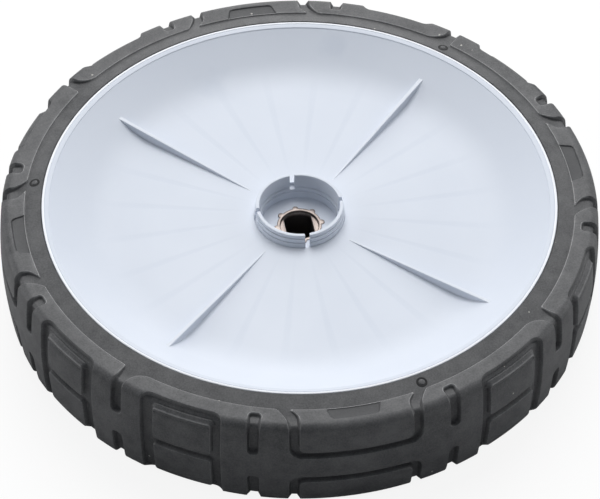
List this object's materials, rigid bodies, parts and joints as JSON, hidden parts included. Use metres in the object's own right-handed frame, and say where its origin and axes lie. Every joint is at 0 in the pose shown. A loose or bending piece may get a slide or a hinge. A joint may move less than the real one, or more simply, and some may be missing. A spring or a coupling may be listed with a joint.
{
  "type": "wheel",
  "caption": "Drive wheel with a dished plastic rim, a slotted centre collar over a double-flat metal bush, and a blocky rubber tyre.",
  "frame": {"origin": "middle of the wheel: on its axis, half way between the outer and the inner face", "axes": "+Z along the axis the wheel turns on, out of the outer (dished) face; +X through one slot of the centre collar and the middle of a centre block of the tread"},
  "size_m": [0.245, 0.245, 0.0464],
  "materials": {
    "rim_plastic": "fine satin moulding",
    "tyre_rubber": "matt",
    "bush_metal": "nickel plated"
  },
  "bodies": {
    "root": {"rim": "rim_plastic", "tyre": "tyre_rubber", "hub_insert": "bush_metal"}
  },
  "joints": []
}
